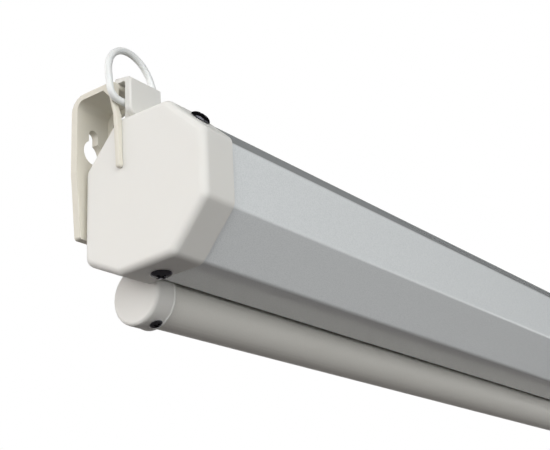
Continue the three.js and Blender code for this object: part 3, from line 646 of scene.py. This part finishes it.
def soften(bm, chosen, offset):
    """Rounds the sharp edges whose two ends are both chosen, as the mould does."""
    outline = [
        edge for edge in bm.edges
        if all(chosen(v.co / MM) for v in edge.verts) and edge.calc_face_angle(0) > BEVEL_ABOVE
    ]
    if not outline:
        raise RuntimeError("no edge to soften was found")
    bmesh.ops.bevel(
        bm, geom=outline, offset=offset * MM, segments=3, profile=0.5, affect="EDGES", material=-1,
    )


def on_hook_front(p):
    """Whether a corner lies on the hook's front face, in millimetres."""
    return abs(p.y - HOOK_FRONT) < PLANE_GAP and p.z > HOOK_FOOT


def on_leg_face(p):
    """Whether a corner lies on the outer face of a bracket's leg, in millimetres."""
    return abs(p.x) > LEG_FACE and p.y < LEG_BACK and p.z < LEG_TOP


class SCREEN_OT_smooth_mouldings(bpy.types.Operator):
    """Make smooth, soft-edged pieces for the moulded, extruded and folded nodes"""

    bl_idname = "screen.smooth_mouldings"
    bl_label = "Mouldings"

    def execute(self, context):
        # Node, and the radius of its fine edges in millimetres.
        wanted = [(f"{kind}_{side}", edge) for side, _ in ENDS for kind, edge in (
            ("end_cap", 0.35), ("wall_bracket", 0.35), ("batten_cap", 0.25), ("bearing_plate", 0.2),
        )]
        wanted += [("screen_case", 0.0), ("batten_tube", 0.0), ("handle_saddle", 0.3), ("roller_tube", 0.0)]
        for node, edge in wanted:
            bm = bmesh.new()
            bm.from_mesh(frame["nodes"][node].data)
            bmesh.ops.remove_doubles(bm, verts=bm.verts, dist=WELD * MM)
            bmesh.ops.dissolve_limit(bm, angle_limit=FLAT_BELOW, verts=bm.verts, edges=bm.edges)
            if node.startswith("end_cap"):
                soften(bm, on_hook_front, HOOK_EDGE)
            if node.startswith("wall_bracket"):
                soften(bm, on_leg_face, LEG_EDGE)
            piece = as_piece(f"{node}_surface", bm, node)
            if edge:
                bevel = piece.modifiers.new("fine edge", "BEVEL")
                bevel.width = edge * MM
                bevel.segments = 2
                bevel.limit_method = "ANGLE"
                bevel.angle_limit = BEVEL_ABOVE
            weighted = piece.modifiers.new("even shading", "WEIGHTED_NORMAL")
            weighted.keep_sharp = True
            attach(piece, body_of(node))
        return {"FINISHED"}


class SCREEN_OT_hanging_rings(bpy.types.Operator):
    """Make the two hanging rings"""

    bl_idname = "screen.hanging_rings"
    bl_label = "Hanging rings"

    def execute(self, context):
        s = settings()[1]
        inner = s.ring_half_width - s.ring_corner
        bend = (s.ring_corner, s.ring_corner)
        top = (s.ring_half_width, s.ring_height - s.ring_leg)
        start = [Vector((RING_JOINT * MM / 2, 0, 0))]
        path = arc((inner, s.ring_corner), bend, -1, 0, RING_BEND_STEPS)
        path += arc((0, s.ring_leg), top, 0, 2, RING_TOP_STEPS)
        path += arc((-inner, s.ring_corner), bend, 2, 3, RING_BEND_STEPS)
        path = start + path + [Vector((-RING_JOINT * MM / 2, 0, 0))]
        for side, way in ENDS:
            node = f"hanging_ring_{side}"
            bm = sweep(path, s.ring_wire / 2, ROD_SIDES)
            round_ends(bm, RING_ROUNDING, 2)
            place = Vector((way * (HALF_LENGTH - RING_X), RING_Y, RING_Z)) * MM
            bm.transform(Matrix.Translation(place) @ Matrix.Rotation(RING_LEAN, 4, "X"))
            piece = as_piece(f"ring_{side}", bm, node)
            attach(piece, body_of(node))
        return {"FINISHED"}


def screw_mesh(radius, height, shank, depth):
    """A domed screw on +Z, spun from half its section, with a cross recess sunk into the head."""
    bm = bmesh.new()
    section = [(0, height)]
    for k in range(1, DOME_STEPS):
        angle = math.pi / 2 * (1 - k / DOME_STEPS)
        section.append((radius * math.cos(angle), height * math.sin(angle)))
    section += [(radius, RIM_SHARE * height), (radius * UNDERSIDE_SHARE, 0), (shank, 0)]
    section += [(shank, -SHANK_SHARE * depth), (TIP_RADIUS, -depth), (0, -depth)]
    verts = [bm.verts.new(Vector((r, 0, z + SEAT)) * MM) for r, z in section]
    edges = [bm.edges.new(pair) for pair in zip(verts, verts[1:])]
    bmesh.ops.spin(
        bm, geom=verts + edges, cent=(0, 0, 0), axis=(0, 0, 1), angle=2 * math.pi, steps=SCREW_SIDES,
        use_merge=True,
    )
    bmesh.ops.remove_doubles(bm, verts=bm.verts, dist=WELD * MM)
    bmesh.ops.recalc_face_normals(bm, faces=bm.faces)
    return bm


def cross_cutter(radius, height):
    """The driver's cross as the tool that sinks the recess, narrower at its floor than at its top."""
    bm = bmesh.new()
    reach, half = CROSS_REACH * radius, CROSS_HALF * radius
    floor, top = height * CROSS_FLOOR, height * CROSS_TOP
    for turn in (0, math.pi / 2):
        made = bmesh.ops.create_cube(bm, size=1)["verts"]
        for v in made:
            high = int(v.co.z > 0)
            x = v.co.x * 2 * reach * REACH_TAPER[high]
            y = v.co.y * 2 * half * WIDTH_TAPER[high]
            v.co = Vector((x, y, (floor, top)[high] + SEAT)) * MM
        bmesh.ops.rotate(bm, verts=made, cent=(0, 0, 0), matrix=Matrix.Rotation(turn, 3, "Z"))
    bmesh.ops.recalc_face_normals(bm, faces=bm.faces)
    return bm


def recessed_screw(radius, height, shank, depth):
    """The screw with its recess cut, as a bmesh."""
    body = loose_object("screw_blank", screw_mesh(radius, height, shank, depth))
    tools = loose_object("driver_cross", cross_cutter(radius, height))
    cut = body.modifiers.new("recess", "BOOLEAN")
    cut.operation = "DIFFERENCE"
    cut.solver = "EXACT"
    cut.use_self = True
    cut.object = tools
    bpy.context.view_layer.update()
    done = bpy.data.meshes.new_from_object(body.evaluated_get(bpy.context.evaluated_depsgraph_get()))
    bm = bmesh.new()
    bm.from_mesh(done)
    bpy.data.objects.remove(body)
    bpy.data.objects.remove(tools)
    if len(bm.faces) < FEWEST_FACES:
        raise RuntimeError("the screw's recess could not be cut")
    return bm


class SCREEN_OT_screws(bpy.types.Operator):
    """Make the cross-recessed screws"""

    bl_idname = "screen.screws"
    bl_label = "Screws"

    def execute(self, context):
        for side, way in ENDS:
            for screw in (*CAP_SCREWS, SADDLE_SCREW):
                name, radius, height, shank, depth, x, y, z, out_y, out_z = screw
                place = way * x if screw is SADDLE_SCREW else way * (HALF_LENGTH - x)
                node = f"{name}_{side}"
                bm = recessed_screw(radius, height, shank, depth)
                bm.transform(facing(place, y, z, out_y, out_z))
                piece = as_piece(f"{node}_turned", bm, node)
                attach(piece, body_of(node))
        return {"FINISHED"}


class SCREEN_OT_torsion_spring(bpy.types.Operator):
    """Wind the torsion spring inside the roller"""

    bl_idname = "screen.torsion_spring"
    bl_label = "Torsion spring"

    def execute(self, context):
        s = settings()[1]
        steps = s.spring_turns * STEPS_A_TURN
        bm = bmesh.new()
        start = Vector((HALF_LENGTH - SPRING_START, ROLLER_Y, ROLLER_Z)) * MM
        start.x -= s.spring_wire / 2
        travel = SPRING_LENGTH * MM - s.spring_wire
        section = bmesh.ops.create_circle(bm, segments=WIRE_SIDES, radius=s.spring_wire / 2)["verts"]
        up = Vector((0, 0, s.spring_radius - s.spring_wire / 2))
        turn = Matrix.Translation(start + up) @ Matrix.Rotation(math.pi / 2, 4, "X")
        bmesh.ops.transform(bm, matrix=turn, verts=section)
        bmesh.ops.spin(
            bm, geom=list(bm.verts) + list(bm.edges), cent=start, axis=(1, 0, 0),
            dvec=(-travel / steps, 0, 0), angle=2 * math.pi * s.spring_turns, steps=steps,
        )
        bmesh.ops.holes_fill(bm, edges=[e for e in bm.edges if e.is_boundary], sides=WIRE_SIDES)
        node = "torsion_spring"
        piece = as_piece("spring_coils", bm, node)
        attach(piece, body_of(node))
        return {"FINISHED"}


def drawn_sheet(rows):
    """A strip of cloth drawn out row by row; each row is its middle point and its V, both in metres."""
    s = settings()[1]
    half = Vector((s.cloth_width / 2, 0, 0))
    bm = bmesh.new()
    cut = bm.loops.layers.uv.new("cut")
    middle, v = rows[0]
    verts = [bm.verts.new(middle - half), bm.verts.new(middle + half)]
    lengths = {verts[0]: v, verts[1]: v}
    edges = [bm.edges.new(verts)]
    for (before, _), (after, v) in zip(rows, rows[1:]):
        drawn = bmesh.ops.extrude_edge_only(bm, edges=edges)["geom"]
        edges = [g for g in drawn if isinstance(g, bmesh.types.BMEdge)]
        verts = [g for g in drawn if isinstance(g, bmesh.types.BMVert)]
        bmesh.ops.translate(bm, vec=after - before, verts=verts)
        for vert in verts:
            lengths[vert] = v
    for face in bm.faces:
        for loop in face.loops:
            loop[cut].uv = (loop.vert.co.x + s.cloth_width / 2, lengths[loop.vert])
    return bm


def cloth_piece(name, bm, node):
    """Turns a drawn sheet into a piece of cloth with a white front and a black back."""
    for face in bm.faces:
        face.smooth = True
    # A smooth rim would tilt the shading across the whole flat width.
    for edge in bm.edges:
        edge.smooth = not edge.is_boundary
    piece = loose_object(name, bm)
    for material in (cloth_front(), cloth_back()):
        piece.data.materials.append(material)
    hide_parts(node)
    thick = piece.modifiers.new("cloth", "SOLIDIFY")
    thick.thickness = settings()[1].cloth_thickness
    thick.offset = 0
    thick.use_rim = True
    thick.material_offset = 1
    thick.material_offset_rim = 1
    return piece


class SCREEN_OT_wound_cloth(bpy.types.Operator):
    """Wind the cloth on the roller"""

    bl_idname = "screen.wound_cloth"
    bl_label = "Wound cloth"

    def execute(self, context):
        axis = Vector((0, ROLLER_Y, ROLLER_Z)) * MM
        radius = WOUND_RADIUS * MM
        run = 0.0
        angle = 0.0
        rows = []
        while run < CLOTH_LENGTH * MM:
            rows.append((axis + Vector((0, radius * math.cos(angle), radius * math.sin(angle))), run))
            run += radius * WOUND_STEP
            angle += WOUND_STEP
            radius += CLOTH_PITCH * MM * WOUND_STEP / (2 * math.pi)
        bm = drawn_sheet(rows)
        bmesh.ops.recalc_face_normals(bm, faces=bm.faces)
        topmost = max(bm.faces, key=lambda f: f.calc_center_median().z)
        if topmost.normal.z > 0:
            bmesh.ops.reverse_faces(bm, faces=bm.faces)
        piece = cloth_piece("cloth_on_roller", bm, "wound_fabric")
        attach(piece, body_of("wound_fabric"))
        return {"FINISHED"}


class SCREEN_OT_falling_cloth(bpy.types.Operator):
    """Hang the cloth from the roller down to the batten"""

    bl_idname = "screen.falling_cloth"
    bl_label = "Falling cloth"

    def execute(self, context):
        rows = []
        drop = (FALL_TOP - FALL_BOTTOM) * MM
        for k in range(FALL_ROWS + 1):
            t = k / FALL_ROWS
            eased = t * t * (3 - 2 * t)
            place = Vector((0, BATTEN_Y * MM, FALL_TOP * MM - drop * t))
            rows.append((place, drop * t + TRAVEL * MM * eased))
        bm = drawn_sheet(rows)
        bm.normal_update()
        if next(iter(bm.faces)).normal.y > 0:
            bmesh.ops.reverse_faces(bm, faces=bm.faces)
        piece = cloth_piece("cloth_fall", bm, "fabric_fall")
        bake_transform(piece)
        return {"FINISHED"}


class SCREEN_OT_pull_handle(bpy.types.Operator):
    """Bend the pull handle"""

    bl_idname = "screen.pull_handle"
    bl_label = "Pull handle"

    def execute(self, context):
        s = settings()[1]
        lean = math.atan2(HANDLE_GRIP - HANDLE_TOP, HANDLE_DROP)
        bend = math.pi / 2 - lean
        reach = HANDLE_BEND * math.tan(bend / 2)
        centre_x = HANDLE_GRIP - reach
        centre_z = -HANDLE_DROP + HANDLE_BEND
        right = [Vector((HANDLE_TOP, 0, HANDLE_PIN))]
        for k in range(HANDLE_BEND_STEPS + 1):
            a = -math.pi / 2 + bend * (1 - k / HANDLE_BEND_STEPS)
            x, z = centre_x + HANDLE_BEND * math.cos(a), centre_z + HANDLE_BEND * math.sin(a)
            right.append(Vector((x, 0, z)))
        left = [Vector((-p.x, 0, p.z)) for p in reversed(right)]
        path = [(p + Vector((0, BATTEN_Y, HANDLE_PIVOT))) * MM for p in right + left]
        bm = sweep(path, s.handle_wire / 2, ROD_SIDES)
        round_ends(bm, HANDLE_ROUNDING, 3)
        span = (HANDLE_TOP - HANDLE_PIN_START) * MM
        for way in (-1, 1):
            middle = Vector((way * (HANDLE_PIN_START + HANDLE_TOP) / 2, BATTEN_Y, HANDLE_PIVOT)) * MM
            bmesh.ops.create_cone(
                bm, cap_ends=True, segments=PIN_SIDES, radius1=HANDLE_PIN * MM, radius2=HANDLE_PIN * MM,
                depth=span, matrix=Matrix.Translation(middle) @ Matrix.Rotation(math.pi / 2, 4, "Y"),
            )
        node = "pull_handle"
        piece = as_piece("handle_bail", bm, node)
        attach(piece, body_of(node))
        return {"FINISHED"}


def stage_floor():
    """Lays a plain painted floor: pale for the camera, darker for the light that it throws back."""
    s = settings()[2]
    sheet = bmesh.new()
    below = Matrix.Translation((0, 0, -s.floor_depth))
    bmesh.ops.create_grid(sheet, x_segments=1, y_segments=1, size=FLOOR_HALF, matrix=below)
    floor = loose_object("floor", sheet)
    m = new_material("matt_painted_floor")
    place = add(m, "ShaderNodeTexCoord").outputs["Object"]
    grain = add(m, "ShaderNodeTexNoise", {"Vector": place, "Scale": per_mm(300), "Detail": 3.0})
    pale = add(m, "ShaderNodeMix", {
        FACTOR: grain.outputs["Fac"], COLOUR_A: linear(FLOOR_LOW), COLOUR_B: linear(FLOOR_HIGH),
    }, data_type="RGBA")
    direct = add(m, "ShaderNodeLightPath").outputs["Is Camera Ray"]
    tone = add(m, "ShaderNodeMix", {
        FACTOR: direct, COLOUR_A: linear(FLOOR_BOUNCE), COLOUR_B: pale.outputs[MIXED_COLOUR],
    }, data_type="RGBA")
    lift = add(m, "ShaderNodeMath", {0: direct, 1: s.floor_lift}, operation="MULTIPLY")
    shader = add(m, "ShaderNodeBsdfPrincipled", {
        "Base Color": tone.outputs[MIXED_COLOUR], "Roughness": 0.9,
        "Emission Color": tone.outputs[MIXED_COLOUR], "Emission Strength": lift.outputs["Value"],
    })
    add(m, "ShaderNodeOutputMaterial", {"Surface": shader.outputs["BSDF"]})
    floor.data.materials.append(m)


def stage_lamps():
    """Hangs the two broad lamps."""
    s = settings()[2]
    for name, setting, tint, towards, spread in LAMPS:
        lamp = bpy.data.lights.new(name, "SUN")
        lamp.energy = getattr(s, setting)
        lamp.color = linear(tint)[:3]
        lamp.angle = math.radians(spread)
        hung = bpy.data.objects.new(name, lamp)
        hung.rotation_euler = towards.to_track_quat("-Z", "Y").to_euler()
        bpy.context.scene.collection.objects.link(hung)


def stage_room():
    """Makes the room: white for the camera, and dim for the light that it gives.

    Reflections and clear things show it white up to eye level, fading to the ceiling's tone above.
    """
    s = settings()[2]
    world = bpy.data.worlds.new("studio")
    world.use_nodes = True
    world.node_tree.nodes.clear()
    rays = add(world, "ShaderNodeLightPath")
    seen = add(world, "ShaderNodeMath", {
        0: rays.outputs["Is Camera Ray"], 1: rays.outputs["Is Glossy Ray"],
    }, operation="MAXIMUM")
    shown = add(world, "ShaderNodeMath", {
        0: seen.outputs["Value"], 1: rays.outputs["Is Transmission Ray"],
    }, operation="MAXIMUM")
    aim = add(world, "ShaderNodeTexCoord").outputs["Generated"]
    height = add(world, "ShaderNodeSeparateXYZ", {"Vector": aim}).outputs["Z"]
    wall = add(world, "ShaderNodeMapRange", {
        "Value": height, "From Min": 0.0, "From Max": WALL_TOP, "To Min": 1.0, "To Max": s.ceiling,
    })
    unseen = add(world, "ShaderNodeMath", {0: 1.0, 1: rays.outputs["Is Camera Ray"]}, operation="SUBTRACT")
    bright = add(world, "ShaderNodeMix", {
        FACTOR: unseen.outputs["Value"], NUMBER_A: 1.0, NUMBER_B: wall.outputs["Result"],
    })
    light = add(world, "ShaderNodeMix", {
        FACTOR: shown.outputs["Value"], NUMBER_A: s.ambient, NUMBER_B: bright.outputs[MIXED_NUMBER],
    })
    sky = add(world, "ShaderNodeBackground", {
        "Color": (1, 1, 1, 1), "Strength": light.outputs[MIXED_NUMBER],
    })
    add(world, "ShaderNodeOutputWorld", {"Surface": sky.outputs["Background"]})
    bpy.context.scene.world = world


def stage_camera():
    """Sets the camera: yaw turns from +Y towards +X, pitch looks up and roll turns the picture."""
    yaw, pitch, roll = (math.radians(a) for a in CAMERA_TURNS)
    look = Vector((math.sin(yaw) * math.cos(pitch), math.cos(yaw) * math.cos(pitch), math.sin(pitch)))
    level = Vector((math.cos(yaw), -math.sin(yaw), 0))
    above = level.cross(look)
    right = level * math.cos(roll) + above * math.sin(roll)
    up = -level * math.sin(roll) + above * math.cos(roll)
    camera = bpy.data.cameras.new("camera")
    camera.lens = CAMERA_LENS
    camera.sensor_width = CAMERA_SENSOR
    camera.clip_end = CAMERA_REACH
    eye = bpy.data.objects.new("camera", camera)
    turn = Matrix((right, up, -look)).transposed().to_4x4()
    eye.matrix_world = Matrix.Translation(CAMERA_PLACE) @ turn
    bpy.context.scene.collection.objects.link(eye)
    bpy.context.scene.camera = eye


class SCREEN_OT_stage(bpy.types.Operator):
    """Set the floor, the lights, the background and the camera"""

    bl_idname = "screen.stage"
    bl_label = "Stage"

    def execute(self, context):
        stage_floor()
        stage_lamps()
        stage_room()
        stage_camera()
        context.scene.view_settings.view_transform = "Standard"
        return {"FINISHED"}


class SCREEN_PT_panel(bpy.types.Panel):
    """Lists the pieces of the screen"""

    bl_idname = "SCREEN_PT_panel"
    bl_label = "Projector screen"
    bl_space_type = "VIEW_3D"
    bl_region_type = "UI"
    bl_category = "Screen"

    def draw(self, context):
        for operator in OPERATORS:
            self.layout.operator(operator.bl_idname)
        for group in settings():
            box = self.layout.box()
            for name in group.bl_rna.properties.keys():
                if name not in ("rna_type", "name"):
                    box.prop(group, name)


GROUPS = (ScreenColours, ScreenSizes, StageSettings)
OPERATORS = (
    SCREEN_OT_stage,
    SCREEN_OT_finishes,
    SCREEN_OT_smooth_mouldings,
    SCREEN_OT_hanging_rings,
    SCREEN_OT_screws,
    SCREEN_OT_torsion_spring,
    SCREEN_OT_wound_cloth,
    SCREEN_OT_falling_cloth,
    SCREEN_OT_pull_handle,
)


def register():
    """Adds the classes and the scene's three groups of settings."""
    for cls in (*GROUPS, *OPERATORS, SCREEN_PT_panel):
        bpy.utils.register_class(cls)
    bpy.types.Scene.screen_colours = PointerProperty(type=ScreenColours)
    bpy.types.Scene.screen_sizes = PointerProperty(type=ScreenSizes)
    bpy.types.Scene.screen_stage = PointerProperty(type=StageSettings)


def unregister():
    """Takes away what register adds."""
    del bpy.types.Scene.screen_colours
    del bpy.types.Scene.screen_sizes
    del bpy.types.Scene.screen_stage
    for cls in reversed((*GROUPS, *OPERATORS, SCREEN_PT_panel)):
        bpy.utils.unregister_class(cls)


def main():
    """Makes every piece and the stage."""
    register()
    for operator in OPERATORS:
        family, name = operator.bl_idname.split(".")
        getattr(getattr(bpy.ops, family), name)()


if __name__ == "__main__":
    main()
